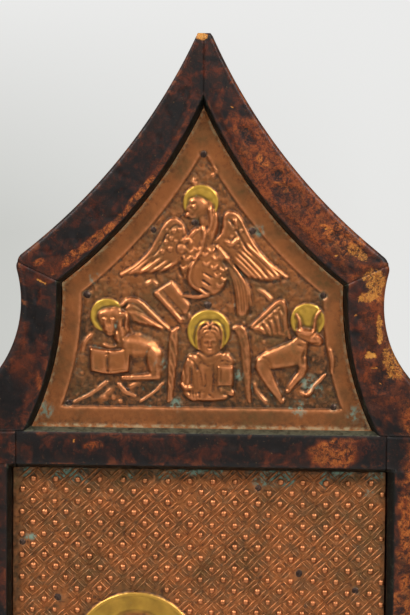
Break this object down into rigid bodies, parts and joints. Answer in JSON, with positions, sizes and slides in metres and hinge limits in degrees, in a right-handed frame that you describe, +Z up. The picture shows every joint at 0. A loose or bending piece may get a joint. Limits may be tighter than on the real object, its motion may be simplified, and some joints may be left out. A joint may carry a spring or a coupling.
{
  "type": "triptych altarpiece",
  "caption": "Gabled folding altarpiece: a framed centre panel and two hinged wings in lacquered wood, set with copper repousse relief plates",
  "frame": {"origin": "middle of the underside of the centre panel's board, on the table", "axes": "+X to the viewer's right across the panel, +Y away from the viewer towards the back, +Z up"},
  "size_m": [0.3564, 0.0679, 0.3973],
  "materials": {
    "lacquered_wood": "dark red-brown lacquer over gesso and gilding, worn to orange and gold at the edges, satin gloss",
    "copper_plate": "repousse copper with brown patina, polished highs and parcel-gilt haloes",
    "iron_nail": "dark hand-made domed nail heads",
    "brass_hinge": "aged cast brass butt hinges"
  },
  "bodies": {
    "centre": {"back_board": "lacquered_wood", "bottom_rail": "lacquered_wood", "crossbar": "lacquered_wood", "gable_nail_1": "iron_nail", "gable_nail_10": "iron_nail", "gable_nail_11": "iron_nail", "gable_nail_12": "iron_nail", "gable_nail_2": "iron_nail", "gable_nail_3": "iron_nail", "gable_nail_4": "iron_nail", "gable_nail_5": "iron_nail", "gable_nail_6": "iron_nail", "gable_nail_7": "iron_nail", "gable_nail_8": "iron_nail", "gable_nail_9": "iron_nail", "gable_plate": "copper_plate", "hinge_leaf_left_lower": "brass_hinge", "hinge_leaf_left_upper": "brass_hinge", "hinge_leaf_right_lower": "brass_hinge", "hinge_leaf_right_upper": "brass_hinge", "hinge_pin_left_lower": "brass_hinge", "hinge_pin_left_upper": "brass_hinge", "hinge_pin_right_lower": "brass_hinge", "hinge_pin_right_upper": "brass_hinge", "main_nail_1": "iron_nail", "main_nail_2": "iron_nail", "main_nail_3": "iron_nail", "main_nail_4": "iron_nail", "main_nail_5": "iron_nail", "main_plate": "copper_plate", "rafter_left": "lacquered_wood", "rafter_right": "lacquered_wood", "shoulder_left": "lacquered_wood", "shoulder_right": "lacquered_wood", "stile_left": "lacquered_wood", "stile_right": "lacquered_wood"},
    "wing_left": {"wing_left_back": "lacquered_wood", "wing_left_bottom_rail": "lacquered_wood", "wing_left_closing_stile": "lacquered_wood", "wing_left_crossbar": "lacquered_wood", "wing_left_gable_plate": "copper_plate", "wing_left_hinge_stile": "lacquered_wood", "wing_left_leaf_lower": "brass_hinge", "wing_left_leaf_upper": "brass_hinge", "wing_left_main_plate": "copper_plate", "wing_left_rafter": "lacquered_wood", "wing_left_shoulder": "lacquered_wood"},
    "wing_right": {"wing_right_back": "lacquered_wood", "wing_right_bottom_rail": "lacquered_wood", "wing_right_closing_stile": "lacquered_wood", "wing_right_crossbar": "lacquered_wood", "wing_right_gable_plate": "copper_plate", "wing_right_hinge_stile": "lacquered_wood", "wing_right_leaf_lower": "brass_hinge", "wing_right_leaf_upper": "brass_hinge", "wing_right_main_plate": "copper_plate", "wing_right_rafter": "lacquered_wood", "wing_right_shoulder": "lacquered_wood"}
  },
  "joints": [
    {"name": "wing_left_hinge", "type": "hinge", "parent": "centre", "child": "wing_left", "pos_m": [-0.0929, -0.0114, 0.125], "axis": [0, 0, -1], "range_deg": [-150, 30]},
    {"name": "wing_right_hinge", "type": "hinge", "parent": "centre", "child": "wing_right", "pos_m": [0.0929, -0.0114, 0.125], "axis": [0, 0, 1], "range_deg": [-150, 30]}
  ]
}
